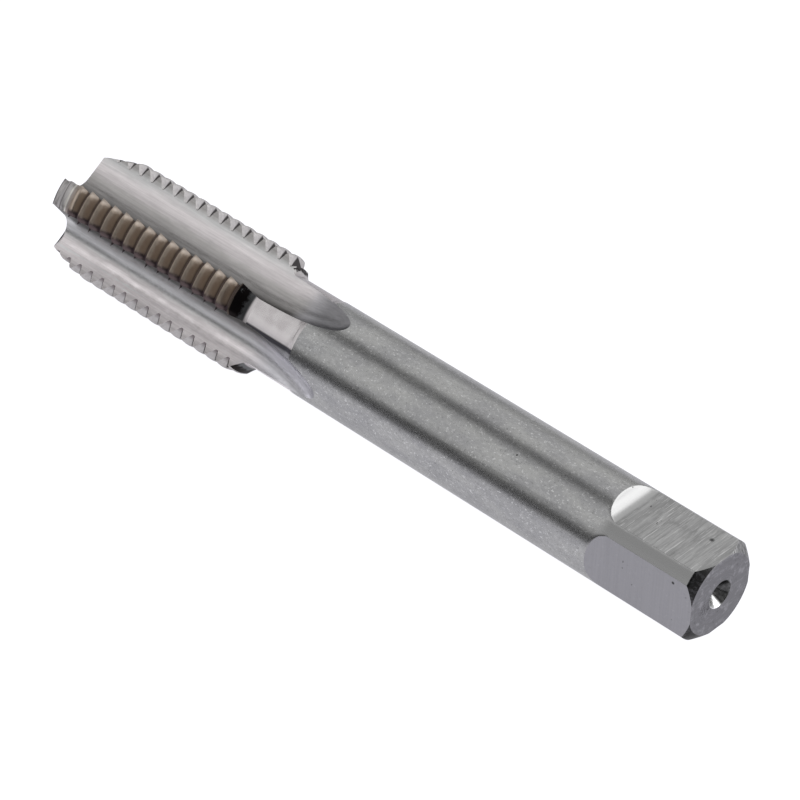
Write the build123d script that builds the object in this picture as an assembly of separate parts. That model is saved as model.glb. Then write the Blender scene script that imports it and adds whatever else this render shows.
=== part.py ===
from build123d import *
import os
from math import asin, atan2, cos, degrees, hypot, radians, sin, tan

# Hand tap M16 x 2, right-hand, four straight flutes, short lead.
# One piece of hardened tool steel: drive square, ground shank, plain neck
# and fluted thread.  All lengths in mm.
#
# Working frame while it is built: the tool axis is Z, the end face of the
# drive square is at z = 0 and the cutting tip is at z = -TOTAL_L.
# An angle "th" is counted round the axis from the middle of one square flat.
# At the end the tap is laid down as it rests on a flat surface.

# ---- overall lengths (ISO 529, M16) ---------------------------------------
TOTAL_L = 102.0            # over everything
BACK_START = 70.3          # from the end face to the start of the back chamfer
NECK_START = 68.6          # where the back chamfer reaches the neck
NECK_END = 61.2            # where the neck steps up to the ground shank

# ---- shank, neck and drive square -----------------------------------------
SHANK_D = 12.5
NECK_D_REAR = 12.40        # neck, tapering a little from the shank
NECK_D_FRONT = 12.30       # down to the back of the thread
SQUARE_AF = 10.0           # across flats, h11
SQUARE_L = 12.3            # length of the flat before the cutter run-out
SQUARE_RUNOUT_R = 2.3      # radius that the square cutter leaves at its end
END_CHAMFER_L = 0.95       # axial length of the end chamfer
END_FACE_D = 10.24         # end face inside the chamfer

# ---- centre holes, form A, one in each end ---------------------------------
CENTRE_D = 3.5             # mouth of the 60 degree countersink
CENTRE_PILOT_D = 1.6
CENTRE_PILOT_L = 2.6       # pilot length below the countersink
TIP_CENTRE_D = 3.35
TIP_CENTRE_PILOT_D = 1.6

# ---- thread -----------------------------------------------------------------
PITCH = 2.0
MAJOR_D = 16.10            # crests, a little over the nominal 16
PITCH_D = 14.701
ROOT_D = 13.55
FLANK = 30.0               # half of the 60 degree thread angle
ROOT_Z_TH0 = -69.56        # groove centre where the last turn passes th = 0
THREAD_TURNS = 17

# ---- lead at the tip -----------------------------------------------------------
LEAD_TIP_D = 13.4          # diameter of the lead at the end face
LEAD_L = 4.6               # axial length on the cutting edges, 2.3 pitches
LEAD_RELIEF = 0.28         # radial drop from cutting edge to heel of a land
LAND_EDGE_TH = 30.1        # th of the first land's cutting edge
LAND_HEEL_TH = 60.4        # and of its heel

# ---- flutes: section seen along the axis, (across, out from the axis) ----------
FLUTES = 4
FACE_PT = (3.27, 5.27)     # a point on the cutting face
FACE_DIR = (0.4154, 0.9096)
HEEL_PT = (-0.436, 3.838)  # where the sloping heel side leaves the floor arc
HEEL_CORNER = (-3.10, 5.665)
HEEL_TOP = (-4.62, 8.00)
FLOOR_C = (0.905, 5.79)    # centre of the floor arc
FLOOR_R = 2.37
FLUTE_FULL = 69.7          # full depth from the tip up to this distance
RUNOUT_R1 = 36.0           # long arc of the wheel run-out
RUNOUT_X1 = 58.0           # where it tightens
RUNOUT_R2 = 8.0

# ---- points that touch the ground when it lies down -------------------------------
REST_CREST_X = 71.64       # last full crest, distance from the end face
REST_CREST_Z = 7.003       # its distance below the axis, on the heel
REST_SHANK_X = 14.35       # shank, where the cutter run-out of the square ends


def ring_point(r, th, z=0.0):
    """Point at radius r, angle th from the middle of the first flat."""
    a = radians(180.0 + th)
    return (r * cos(a), r * sin(a), z)


# ---- turned blank: tip, crest cylinder, back chamfer, neck, shank ---------------
rs, rc, rt = SHANK_D / 2, MAJOR_D / 2, LEAD_TIP_D / 2
outline = Polyline(
    (0, 0), (END_FACE_D / 2, 0), (rs, -END_CHAMFER_L), (rs, -NECK_END),
    (NECK_D_REAR / 2, -NECK_END - 0.10), (NECK_D_FRONT / 2, -NECK_START), (rc, -BACK_START),
    (rc, -TOTAL_L + LEAD_L), (rt, -TOTAL_L), (0, -TOTAL_L), close=True)
blank = revolve(make_face(Plane.XZ * outline), Axis.Z)


# ---- drive square with the run-out of the cutter --------------------------------
def flat_cutter():
    """Solid that mills one flat, on the -X side, with its curved run-out."""
    h = SQUARE_AF / 2
    r = SQUARE_RUNOUT_R
    far = 9.0
    depth = far - h
    # section in (out, z): the flat at out = h, then a quarter arc outwards
    p0, p1 = (h, 3.0), (h, -SQUARE_L)
    p2 = (h + r, -SQUARE_L - r)
    mid = (h + r * (1 - cos(radians(45))), -SQUARE_L - r * sin(radians(45)))
    wire = Wire([Edge.make_line(Vector(p0[0], 0, p0[1]), Vector(p1[0], 0, p1[1])),
                 Edge.make_three_point_arc(Vector(p1[0], 0, p1[1]),
                                           Vector(mid[0], 0, mid[1]),
                                           Vector(p2[0], 0, p2[1])),
                 Edge.make_line(Vector(p2[0], 0, p2[1]), Vector(far, 0, p2[1])),
                 Edge.make_line(Vector(far, 0, p2[1]), Vector(far, 0, p0[1])),
                 Edge.make_line(Vector(far, 0, p0[1]), Vector(p0[0], 0, p0[1]))])
    face = Face(wire)
    return extrude(face, amount=9.0, dir=(0, 1, 0), both=True)


mill = flat_cutter()
for i in range(4):
    blank -= Rot(0, 0, 90.0 * i) * mill


# ---- centre holes -----------------------------------------------------------------
def centre_hole(d, pilot, pilot_l):
    """60 degree countersink with its pilot, mouth at z = 0, going down."""
    cone_l = (d - pilot) / 2 / tan(radians(30))
    pts = [(0, 0.5), (d / 2 + 0.5 * tan(radians(30)), 0.5), (pilot / 2, -cone_l),
           (pilot / 2, -cone_l - pilot_l), (0, -cone_l - pilot_l - pilot / 2 * tan(radians(31)))]
    return revolve(make_face(Plane.XZ * Polyline(*pts, close=True)), Axis.Z)


blank -= centre_hole(CENTRE_D, CENTRE_PILOT_D, CENTRE_PILOT_L)
blank -= Pos(0, 0, -TOTAL_L) * Rot(180, 0, 0) * centre_hole(
    TIP_CENTRE_D, TIP_CENTRE_PILOT_D, CENTRE_PILOT_L)


# ---- flutes -------------------------------------------------------------------------
def flute_face(top):
    """Closed flute section in the plane z = 0, opening towards +Y.
    Across is -X here, so that the cutting face is on the side of rising th."""
    fx, fy = FACE_PT
    s_top = (top - fy) / FACE_DIR[1]
    face_top = (fx + FACE_DIR[0] * s_top, top)
    # where the face line touches the floor arc
    cx, cy = FLOOR_C
    t = ((cx - fx) * FACE_DIR[0] + (cy - fy) * FACE_DIR[1])
    touch = (fx + FACE_DIR[0] * t, fy + FACE_DIR[1] * t)
    # keep the arc exactly on both touching points
    a0 = atan2(HEEL_PT[1] - cy, HEEL_PT[0] - cx)
    a1 = atan2(touch[1] - cy, touch[0] - cx)
    am = (a0 + a1) / 2
    mid = (cx + FLOOR_R * cos(am), cy + FLOOR_R * sin(am))
    k = (top - HEEL_CORNER[1]) / (HEEL_TOP[1] - HEEL_CORNER[1])
    heel_top = (HEEL_CORNER[0] + (HEEL_TOP[0] - HEEL_CORNER[0]) * k, top)
    # soft corner on the heel side
    e1 = (HEEL_PT[0] - HEEL_CORNER[0], HEEL_PT[1] - HEEL_CORNER[1])
    e2 = (heel_top[0] - HEEL_CORNER[0], heel_top[1] - HEEL_CORNER[1])
    l1, l2 = hypot(*e1), hypot(*e2)
    c = 0.55
    q1 = (HEEL_CORNER[0] + e1[0] / l1 * c, HEEL_CORNER[1] + e1[1] / l1 * c)
    q2 = (HEEL_CORNER[0] + e2[0] / l2 * c, HEEL_CORNER[1] + e2[1] / l2 * c)
    edges = [Edge.make_line(Vector(heel_top[0], heel_top[1]), Vector(*q2)),
             Edge.make_tangent_arc(Vector(*q2), Vector(-e2[0] / l2, -e2[1] / l2), Vector(*q1)),
             Edge.make_line(Vector(*q1), Vector(*HEEL_PT)),
             Edge.make_three_point_arc(Vector(*HEEL_PT), Vector(*mid), Vector(*touch)),
             Edge.make_line(Vector(*touch), Vector(*face_top)),
             Edge.make_line(Vector(*face_top), Vector(*heel_top))]
    return edges


def flute_cutter():
    """Straight flute plus the two arcs of its run-out, above th = 0."""
    edges = flute_face(9.0)
    face = Face(Wire(edges))
    # the section's "across" goes to -Y (rising th) and its "out" to -X (th = 0)
    m = Plane(origin=(0, 0, 0), x_dir=(0, -1, 0), z_dir=(0, 0, -1))
    placed = m * face
    z0, z1 = -TOTAL_L - 1.0, -FLUTE_FULL
    start = Pos(0, 0, z0) * placed
    straight = extrude(start, amount=z1 - z0, dir=(0, 0, 1))
    # first arc: turns about a line across the flute, far out from the axis
    base = FLOOR_C[1] - FLOOR_R
    a1 = degrees(asin((FLUTE_FULL - RUNOUT_X1) / RUNOUT_R1))
    ax1 = Axis((-(base + RUNOUT_R1), 0, z1), (0, 1, 0))
    arc1 = revolve(Pos(0, 0, z1) * placed, ax1, -a1)
    end1 = (Pos(0, 0, z1) * placed).rotate(ax1, -a1)
    # second arc: same plane, tighter, centre on the same normal
    out1 = base + RUNOUT_R1 * (1 - cos(radians(a1)))
    zz1 = -RUNOUT_X1
    cx2 = out1 + RUNOUT_R2 * cos(radians(a1))
    cz2 = zz1 - RUNOUT_R2 * sin(radians(a1))
    ax2 = Axis((-cx2, 0, cz2), (0, 1, 0))
    arc2 = revolve(end1, ax2, -62.0)
    return straight, arc1, arc2


flutes = [Rot(0, 0, 90.0 * i) * c for i in range(FLUTES) for c in flute_cutter()]
blank = blank.cut(*flutes)


# ---- lead, relieved behind each cutting edge --------------------------------------------
def lead_cutter():
    """What is ground off the first land: everything outside a cone set off
    sideways, so the land falls away from its cutting edge to its heel."""
    mid_th = (LAND_EDGE_TH + LAND_HEEL_TH) / 2
    half = (LAND_HEEL_TH - LAND_EDGE_TH) / 2
    off = LEAD_RELIEF / (2 * sin(radians(half)))
    slope = (MAJOR_D - LEAD_TIP_D) / 2 / LEAD_L
    drop = off * sin(radians(half))
    low, high = -TOTAL_L - 1.0, -TOTAL_L + LEAD_L + LEAD_RELIEF / slope + 0.6
    r_low = LEAD_TIP_D / 2 - drop - slope
    r_high = r_low + slope * (high - low)
    cone = revolve(make_face(Plane.XZ * Polyline(
        (0, low), (r_low, low), (r_high, high), (0, high), close=True)), Axis.Z)
    cone = Pos(*ring_point(off, mid_th - 90.0)) * cone
    corners = [ring_point(r, th)[:2] for r, th in
               ((4.0, mid_th - 27), (11.0, mid_th - 27), (11.0, mid_th + 27), (4.0, mid_th + 27))]
    block = Pos(0, 0, low) * extrude(make_face(Polyline(*corners, close=True)), amount=high - low)
    return block - cone


ground = lead_cutter()
blank = blank.cut(*[Rot(0, 0, 90.0 * i) * ground for i in range(FLUTES)])

# ---- thread groove ------------------------------------------------------------------
# The helical groove only meets steel on the four lands, so it is cut as short
# pieces of the one helix, each a little longer than a land.
GROOVE_FROM, GROOVE_TO = 18.0, 74.0        # th at the start and end of a piece


def groove_half(r):
    """Half the axial width of the groove at radius r."""
    return PITCH / 4 + (r - PITCH_D / 2) * tan(radians(FLANK))


def groove_piece():
    """Groove over one land, for the turn whose centre passes th = 0 at z = 0."""
    r0, r1 = ROOT_D / 2, MAJOR_D / 2 + 0.10
    span = GROOVE_TO - GROOVE_FROM
    z0 = PITCH * GROOVE_FROM / 360.0
    path = Helix(PITCH, PITCH * span / 360.0, r0, center=(0, 0, z0))
    h0, h1 = groove_half(r0), groove_half(r1)
    sec = Polyline((r0, z0 - h0), (r1, z0 - h1), (r1, z0 + h1), (r0, z0 + h0), close=True)
    piece = sweep(make_face(Plane.XZ * sec), path=path, is_frenet=True)
    return Rot(0, 0, 180.0 + GROOVE_FROM) * piece


base = groove_piece()
pieces = []
for i in range(FLUTES):
    for k in range(THREAD_TURNS + 1):
        # where this turn of the groove would pass the middle of the flat before the land
        z_turn = ROOT_Z_TH0 - PITCH * (k + 1) + PITCH * i / FLUTES
        if z_turn > -TOTAL_L - PITCH:
            pieces.append(Pos(0, 0, z_turn) * Rot(0, 0, 90.0 * i) * base)
tap = blank.cut(*pieces)

# ---- lay it down ----------------------------------------------------------------------
# The tap rests on the last full crest of a land and on the shank just before
# the square, so the tip points a little upwards.
tap = Rot(0, 90, 0) * tap
tilt = degrees(atan2(REST_CREST_Z - SHANK_D / 2, REST_CREST_X - REST_SHANK_X))
tap = Rot(0, tilt, 0) * tap
box = tap.bounding_box()
shift = (-(box.min.X + box.max.X) / 2, -(box.min.Y + box.max.Y) / 2, -box.min.Z)
tap = Pos(*shift) * tap
print("tilt", round(tilt, 4), "shift", [round(v, 5) for v in shift],
      "volume", round(tap.volume, 2), "solids", len(tap.solids()), "valid", tap.is_valid)

tap.label = "tap"
os.makedirs("parts", exist_ok=True)
export_step(tap, "parts/tap.step")
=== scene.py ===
import bpy
import math
import numpy as np
from mathutils import Matrix, Vector


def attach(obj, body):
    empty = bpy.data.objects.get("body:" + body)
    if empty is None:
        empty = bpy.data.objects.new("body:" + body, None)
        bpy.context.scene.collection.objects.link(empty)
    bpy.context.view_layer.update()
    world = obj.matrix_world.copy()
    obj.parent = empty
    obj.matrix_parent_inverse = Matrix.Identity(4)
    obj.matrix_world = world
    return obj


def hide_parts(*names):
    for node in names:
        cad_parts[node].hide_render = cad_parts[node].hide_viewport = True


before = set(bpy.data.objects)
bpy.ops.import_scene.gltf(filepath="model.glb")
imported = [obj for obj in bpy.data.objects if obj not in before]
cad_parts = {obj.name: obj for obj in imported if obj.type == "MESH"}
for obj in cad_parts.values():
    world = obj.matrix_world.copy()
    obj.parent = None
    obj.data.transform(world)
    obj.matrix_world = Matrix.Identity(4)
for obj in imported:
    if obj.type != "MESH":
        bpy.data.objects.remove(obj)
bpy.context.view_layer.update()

# ------------------------------------------------------------------ the tool frame
# Everything is worked out in millimetres in the tool frame: x = 0 at the end face of
# the square, x = -102 at the tip, angle th counted round the axis from the top (+Z)
# towards -Y.  place() lays it down as the CAD model lies.
TILT = math.atan2(7.003 - 6.25, 71.64 - 14.35)
SHIFT = np.array([51.00018, 0.0, 6.06091])
CA, SA = math.cos(TILT), math.sin(TILT)


def place(p):
    p = np.asarray(p, float)
    out = np.empty_like(p)
    out[..., 0] = p[..., 0] * CA + p[..., 2] * SA + SHIFT[0]
    out[..., 1] = p[..., 1] + SHIFT[1]
    out[..., 2] = -p[..., 0] * SA + p[..., 2] * CA + SHIFT[2]
    return out / 1000.0


# ------------------------------------------------------------------ dimensions
TOTAL_L, BACK_START, NECK_START, NECK_END = 102.0, 70.3, 68.6, 61.2
R_SHANK, R_NECK, R_CREST, R_ROOT = 6.25, 6.16, 8.05, 6.775
PITCH, R_PITCH, TAN30 = 2.0, 7.3505, math.tan(math.radians(30))
LEAD_R, LEAD_L, LEAD_RELIEF = 6.70, 4.6, 0.28
LAND_A, LAND_B = 30.1, 60.4
ROOT_X_TH0 = -71.56
GROOVES = 16
SQUARE_H, SQUARE_L, SQUARE_R = 5.0, 12.3, 2.3
CHAMFER_L, END_R = 0.95, 5.12
FACE_PT, FACE_DIR = np.array([3.27, 5.27]), np.array([0.4154, 0.9096])
HEEL_PT, HEEL_CORNER, HEEL_TOP = np.array([-0.436, 3.838]), np.array([-3.10, 5.665]), np.array([-4.62, 8.00])
FLOOR_C, FLOOR_R = np.array([0.905, 5.79]), 2.37
FLUTE_FULL, RUN_R1, RUN_X1, RUN_R2 = -69.7, 36.0, -58.0, 8.0
BASE = FLOOR_C[1] - FLOOR_R

N = 28      # columns on a land
M = 36      # columns across a flute


# ------------------------------------------------------------------ flute section
def flute_section():
    """Dense polyline of the flute section from the heel side to the cutting face."""
    e1, e2 = HEEL_PT - HEEL_CORNER, HEEL_TOP - HEEL_CORNER
    u1, u2 = e1 / np.linalg.norm(e1), e2 / np.linalg.norm(e2)
    c = 0.55
    q1, q2 = HEEL_CORNER + u1 * c, HEEL_CORNER + u2 * c
    top = HEEL_CORNER + u2 * 4.3
    pts = [top + (q2 - top) * k for k in np.linspace(0, 1, 60)]
    # tangent arc between q2 and q1
    half = math.acos(float(u1 @ u2)) / 2
    bis = (u1 + u2) / np.linalg.norm(u1 + u2)
    rad = c * math.tan(half)
    cen = HEEL_CORNER + bis * (c / math.cos(half))
    b0 = math.atan2(*(q2 - cen)[::-1])
    b1 = math.atan2(*(q1 - cen)[::-1])
    while b1 - b0 > math.pi:
        b1 -= 2 * math.pi
    while b1 - b0 < -math.pi:
        b1 += 2 * math.pi
    pts += [cen + rad * np.array([math.cos(b), math.sin(b)]) for b in np.linspace(b0, b1, 24)[1:]]
    pts += [q1 + (HEEL_PT - q1) * k for k in np.linspace(0, 1, 50)[1:]]
    t = float((FLOOR_C - FACE_PT) @ FACE_DIR)
    touch = FACE_PT + FACE_DIR * t
    a0 = math.atan2(*(HEEL_PT - FLOOR_C)[::-1])
    a1 = math.atan2(*(touch - FLOOR_C)[::-1])
    r0, r1 = np.linalg.norm(HEEL_PT - FLOOR_C), np.linalg.norm(touch - FLOOR_C)
    pts += [FLOOR_C + (r0 + (r1 - r0) * k) * np.array([math.cos(a0 + (a1 - a0) * k), math.sin(a0 + (a1 - a0) * k)])
            for k in np.linspace(0, 1, 90)[1:]]
    top2 = FACE_PT + FACE_DIR * 4.4
    pts += [touch + (top2 - touch) * k for k in np.linspace(0, 1, 80)[1:]]
    pts = np.array(pts)
    s = np.concatenate([[0], np.cumsum(np.linalg.norm(np.diff(pts, axis=0), axis=1))])
    return s, pts


SEC_S, SEC_P = flute_section()
A1 = math.asin((RUN_X1 - FLUTE_FULL) / RUN_R1)
OUT1 = BASE + RUN_R1 * (1 - math.cos(A1))
CX2, CZ2 = OUT1 + RUN_R2 * math.cos(A1), RUN_X1 - RUN_R2 * math.sin(A1)


def lift(x, o):
    """Height that the section point o has at x, where the wheel runs out."""
    x, o = np.broadcast_arrays(np.asarray(x, float), np.asarray(o, float))
    d = np.maximum(x - FLUTE_FULL, 0)
    c1 = BASE + RUN_R1
    arc1 = c1 - np.sqrt(np.maximum((c1 - o) ** 2 - d ** 2, 0))
    rho = np.maximum(RUN_R2 - (o - BASE), 0.02)
    inside = rho ** 2 - (x - CZ2) ** 2
    arc2 = np.where(inside > 0, CX2 - np.sqrt(np.maximum(inside, 0)), CX2 + 3)
    return np.where(d <= (c1 - o) * math.sin(A1), arc1, arc2)


def flute_point(x, s):
    """(across, out) of the flute surface at x, at the length s along its section."""
    c = np.interp(s, SEC_S, SEC_P[:, 0])
    o = np.interp(s, SEC_S, SEC_P[:, 1])
    return c, lift(x, o)


# ------------------------------------------------------------------ body of revolution
# fillet between the back chamfer and the neck
BACK_SLOPE = (R_CREST - R_NECK) / (BACK_START - NECK_START)
FIL = 0.42


def back_radius(x):
    x = np.asarray(x, float)
    r = R_CREST - (x + BACK_START) * BACK_SLOPE
    r = np.minimum(r, R_CREST)
    u = np.clip((x + NECK_START + FIL) / (2 * FIL), 0, 1)
    y0 = R_NECK + FIL * BACK_SLOPE
    fil = y0 - BACK_SLOPE * 2 * FIL * (u - u * u / 2) + 0 * x
    r = np.where(x > -NECK_START - FIL, fil, r)
    r = np.where(x > -NECK_START + FIL, R_NECK, r)
    step = np.clip((x + NECK_END + 0.12) / 0.12, 0, 1)
    return np.where(x > -NECK_END - 0.12, R_NECK + (R_SHANK - R_NECK) * step, r)


def lead_radius(x, phi):
    """Radius of the ground lead; phi is th inside its own quarter."""
    slope = (R_CREST - LEAD_R) / LEAD_L
    drop = LEAD_RELIEF * np.clip((phi - LAND_A) / (LAND_B - LAND_A), 0, 1)
    return LEAD_R + slope * (x + TOTAL_L) - drop


def plain_radius(x, th):
    phi = np.mod(th, 90.0)
    r = np.minimum(R_CREST, back_radius(x))
    r = np.where(x < -90, np.minimum(r, lead_radius(x, phi)), r)
    return r


def root_x(th, k):
    """Centre of groove k (0 = last one) where it crosses angle th."""
    return ROOT_X_TH0 + np.asarray(th, float) / 180.0 - PITCH * k


def groove_radius(dx):
    return np.maximum(R_ROOT, R_PITCH + (np.abs(dx) - 0.5) / TAN30)


CREST_SOFT = 0.50     # how far the crest corners are rounded
HEEL_WEAR = 0.38      # part of the tooth height worn off the heel of the first land
EDGE_RUB = 0.8        # how much further the cutting edge of the first land is rounded
LEAD_TRACE = 0.10     # depth left of the grooves in the lead of the first land


def body_radius(x, th):
    """Outside radius on a land, thread grooves included; th runs 0 to 360."""
    r = plain_radius(x, th)
    k = np.round((root_x(th, 0) - x) / PITCH)
    k = np.clip(k, 0, GROOVES - 1)
    g = groove_radius(x - root_x(th, k))
    # the grooves in the lead of the first land are all but ground away
    g = np.where((th < 80) & (k >= 14), np.maximum(g, r - LEAD_TRACE), g)
    # the cutting edge of the first land is rounded over further than the rest
    rub = np.clip((36.5 - th) / 4.5, 0, 1) * (th < 80)
    soft = CREST_SOFT * (1 + EDGE_RUB * rub)
    h = np.maximum(soft - np.abs(r - g), 0) / soft
    mid = 1 - 0.2165 / CREST_SOFT
    out = np.minimum(r, g) - soft / 4 * (h * h - mid * (1 - rub) * np.minimum(h, mid))
    worn = np.clip((th - 55.5) / 5.0, 0, 1) * (th < 80)
    return out - HEEL_WEAR * worn * worn * np.maximum(out - R_ROOT, 0)


def crossing(th, k, side):
    """x where a flank of groove k meets the crest, the lead or the back chamfer."""
    xr = root_x(th, k)
    a = xr + side * 0.168
    b = xr + side * 1.0
    lo, hi = np.array(a, float), np.array(b, float)
    for _ in range(40):
        mid = (lo + hi) / 2
        above = groove_radius(mid - xr) < plain_radius(mid, th)
        lo = np.where(above, mid, lo)
        hi = np.where(above, hi, mid)
    return lo


# ------------------------------------------------------------------ rows along the thread
DELTA = 0.022
TIP_ROWS = 8
BACK_ROWS = 10


def thread_rows(th):
    """x of every row from the tip to the start of the neck at angle th (0 to 360)."""
    th = np.asarray(th, float)
    rows = []
    first = GROOVES - 1
    xl = crossing(th, first, -1)
    x0 = -TOTAL_L
    start = xl - 0.15
    rows.append(np.full_like(th, x0))
    rows.append(np.full_like(th, x0 + 0.05))
    for j in range(1, TIP_ROWS):
        rows.append(x0 + 0.05 + (start - x0 - 0.05) * j / TIP_ROWS)
    w = 0.1677
    for k in range(first, -1, -1):
        xr = root_x(th, k)
        xl, xr2 = crossing(th, k, -1), crossing(th, k, 1)
        half = 0.125 if k == first else (xl - crossing(th, k + 1, 1)) / 2
        f1, f2 = xr - w - xl, xr2 - xr - w
        d1, d2 = np.minimum(DELTA, f1 * 0.2), np.minimum(DELTA, f2 * 0.2)
        rows += [xl - half, xl - half * 0.45, xl, xl + f1 * 0.11, xl + f1 * 0.22, xl + f1 * 0.36, xl + f1 * 0.66,
                 xr - w - d1, xr - w + DELTA * 2, xr + w - DELTA * 2, xr + w + d2,
                 xr2 - f2 * 0.66, xr2 - f2 * 0.36, xr2 - f2 * 0.22, xr2 - f2 * 0.11, xr2, xr2 + 0.056]
    last = rows[-1]
    end = -NECK_START - FIL - 0.02
    # the back chamfer starts behind the last groove only on the first land
    s0 = np.where(last < -BACK_START - 0.05, -BACK_START - 0.04, last + 0.06)
    s1 = np.where(last < -BACK_START - 0.05, -BACK_START + 0.04, last + 0.14)
    rows += [s0, s1]
    for j in range(1, BACK_ROWS + 1):
        rows.append(s1 + (end - s1) * j / BACK_ROWS)
    return np.array(rows)


def angle_of(i, c, o):
    """th of a flute point (across, out) of flute i."""
    return 90.0 * i + np.degrees(np.arctan2(c, o))


# x of the thread rows on a fine grid of angles, one block for each land
GRID = np.linspace(26.0, 66.0, 161)
GRID_ROWS = [thread_rows(GRID + 90.0 * i) for i in range(4)]
N_THREAD = GRID_ROWS[0].shape[0]


def row_x(th, rows=None):
    """x of the thread rows at the angles th: one row for each angle, or all rows."""
    th = np.asarray(th, float) % 360.0
    land = int(np.floor(np.atleast_1d(th)[0] / 90.0))
    block = GRID_ROWS[land]
    pos = (np.clip(th - 90.0 * land, GRID[0], GRID[-1]) - GRID[0]) / (GRID[1] - GRID[0])
    i0 = np.clip(pos.astype(int), 0, len(GRID) - 2)
    f = pos - i0
    rows = np.arange(N_THREAD) if rows is None else rows
    return block[rows, i0] * (1 - f) + block[rows, i0 + 1] * f


def edge_radius(x, t):
    x, t = np.asarray(x, float), np.asarray(t, float) % 360.0
    return np.where(x < -NECK_START - FIL, body_radius(x, t), back_radius(x))


def borders(i, side, fixed_x):
    """Where flute i meets the body, on the heel (-1) of the land before it or the
    cutting face (+1) of the land after it, for every row: the thread rows, then the
    rows at fixed_x.  Returns arrays (x, th, s)."""
    n = N_THREAD + len(fixed_x)
    th = np.full(n, 90.0 * i + (30.5 if side > 0 else -29.8))
    for _ in range(6):
        x = np.concatenate([row_x(th[:N_THREAD]), fixed_x])
        c, o = flute_point(x[:, None], SEC_S[None, :])
        m = np.argmin(np.hypot(c, o), axis=1)
        lo = SEC_S[m].copy()
        hi = np.full(n, SEC_S[-1] if side > 0 else SEC_S[0])
        for _ in range(44):
            s = (lo + hi) / 2
            c, o = flute_point(x, s)
            inside = np.hypot(c, o) < edge_radius(x, angle_of(i, c, o))
            lo = np.where(inside, s, lo)
            hi = np.where(inside, hi, s)
        c, o = flute_point(x, s)
        th = angle_of(i, c, o)
    return x, th, s


def find_tip():
    """x where the run-out leaves the shank."""
    lo, hi = -60.0, -54.0
    for _ in range(50):
        x = (lo + hi) / 2
        c, o = flute_point(x, SEC_S)
        if np.min(np.hypot(c, o)) < R_SHANK:
            lo = x
        else:
            hi = x
    c, o = flute_point(lo, SEC_S)
    m = int(np.argmin(np.hypot(c, o)))
    return lo, float(np.degrees(np.arctan2(c[m], o[m])))


X_TIP, TH_TIP = find_tip()


def cyl(x, r, th):
    a = np.radians(th)
    x, r, a = np.broadcast_arrays(x, r, a)
    return np.stack([x, -r * np.sin(a), r * np.cos(a)], -1)


def flute_xyz(i, x, s):
    c, o = flute_point(x, s)
    a = math.radians(90.0 * i)
    r, t = np.hypot(c, o), np.arctan2(c, o) + a
    return np.stack([x + 0 * r, -r * np.sin(t), r * np.cos(t)], -1)


# spread of the columns across a flute, closer together at the rounded heel corner
def flute_spread():
    knots = np.array([0, 0.14, 0.27, 1.0])
    dens = np.interp(np.linspace(0, 1, 400), [0, 0.10, 0.17, 0.27, 0.36, 1.0], [0.8, 1.0, 2.2, 2.2, 1.0, 0.9])
    cum = np.concatenate([[0], np.cumsum(dens)])
    cum /= cum[-1]
    return np.interp(np.linspace(0, 1, M + 1), cum, np.linspace(0, 1, 401))


SPREAD = flute_spread()

verts, tool = [], []
faces, mats = [], []
MAT = {"thread": 0, "flute": 1, "neck": 2, "shank": 3, "flat": 4, "chamfer": 5, "face": 6, "hole": 7, "lead": 8, "back": 9}


def add(points):
    """Adds points of the tool frame and returns their indices."""
    points = np.atleast_2d(points)
    first = len(tool)
    tool.extend(points.tolist())
    return list(range(first, first + len(points)))


def quad(a, b, c, d, m):
    ids = []
    for v in (a, b, c, d):
        if v not in ids:
            ids.append(v)
    if len(ids) > 2:
        faces.append(ids)
        mats.append(MAT[m])


# ---- rows that still have flutes
n_thread = N_THREAD
neck_x = [-NECK_START - FIL + 2 * FIL * k / 6 for k in range(0, 7)]
neck_x += list(np.linspace(-NECK_START + FIL, -NECK_END - 0.12, 12)[1:])
neck_x += [-NECK_END - 0.08, -NECK_END - 0.04, -NECK_END]
n_run = 22
run_x = [X_TIP - (X_TIP + NECK_END) * (1 - k / n_run) ** 2 for k in range(1, n_run)]
fixed_x = np.array(neck_x + run_x)
row_zone = ["thread"] * n_thread + ["neck"] * len(neck_x) + ["shank"] * len(run_x)

loops = []       # index lists around the tool
u = np.linspace(0, 1, N + 1)
edge = {(i, side): borders(i, side, fixed_x) for i in range(4) for side in (-1, 1)}
for j in range(n_thread + len(fixed_x)):
    loop = []
    thread_row = j < n_thread
    for i in range(4):
        xa, ta, sa = (v[j] for v in edge[(i, -1)])
        xb, tb, sb = (v[j] for v in edge[(i, 1)])
        # flute interior
        w = SPREAD[1:-1]
        loop += add(flute_xyz(i, xa + (xb - xa) * w, sa + (sb - sa) * w))
        # land, from its cutting face to its heel
        nxt = (i + 1) % 4
        x1, t1, s1 = (v[j] for v in edge[(nxt, -1)])
        if nxt == 0:
            t1 = t1 + 360.0
        th = tb + (t1 - tb) * u
        if thread_row:
            x = row_x(th, np.full(N + 1, j))
            x[0], x[-1] = xb, x1
            r = body_radius(x, th)
            if j == 0:
                r = r - 0.04
        else:
            x = np.full(N + 1, fixed_x[j - n_thread])
            r = np.full(N + 1, float(back_radius(x[0])))
        pts = cyl(x, r, th)
        if j > 0:
            pts[0] = flute_xyz(i, np.array([xb]), np.array([sb]))[0]
            pts[-1] = flute_xyz(nxt, np.array([x1]), np.array([s1]))[0]
        loop += add(pts)
    loops.append(loop)

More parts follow.
